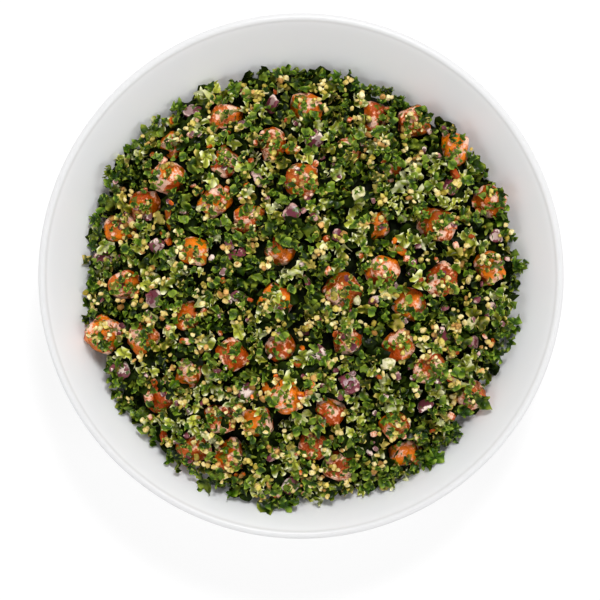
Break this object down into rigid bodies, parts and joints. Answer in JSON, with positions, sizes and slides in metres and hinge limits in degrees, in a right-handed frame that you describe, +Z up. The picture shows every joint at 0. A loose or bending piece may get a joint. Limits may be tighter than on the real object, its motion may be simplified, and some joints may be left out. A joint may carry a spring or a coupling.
{
  "type": "bowl of tabbouleh salad",
  "caption": "Wide white footed bowl heaped with tabbouleh: chopped curly parsley, diced tomato, red onion and bulgur grains.",
  "frame": {"origin": "middle of the bowl's foot, on the surface that the bowl stands on", "axes": "+Z up along the bowl's turning axis; the heap of salad lies slightly off it towards -Y"},
  "size_m": [0.1996, 0.1996, 0.0818],
  "materials": {
    "porcelain": "smooth white glaze",
    "parsley": "moist chopped leaf with a light oil gloss"
  },
  "bodies": {
    "root": {"bowl": "porcelain", "salad": "parsley"}
  },
  "joints": []
}
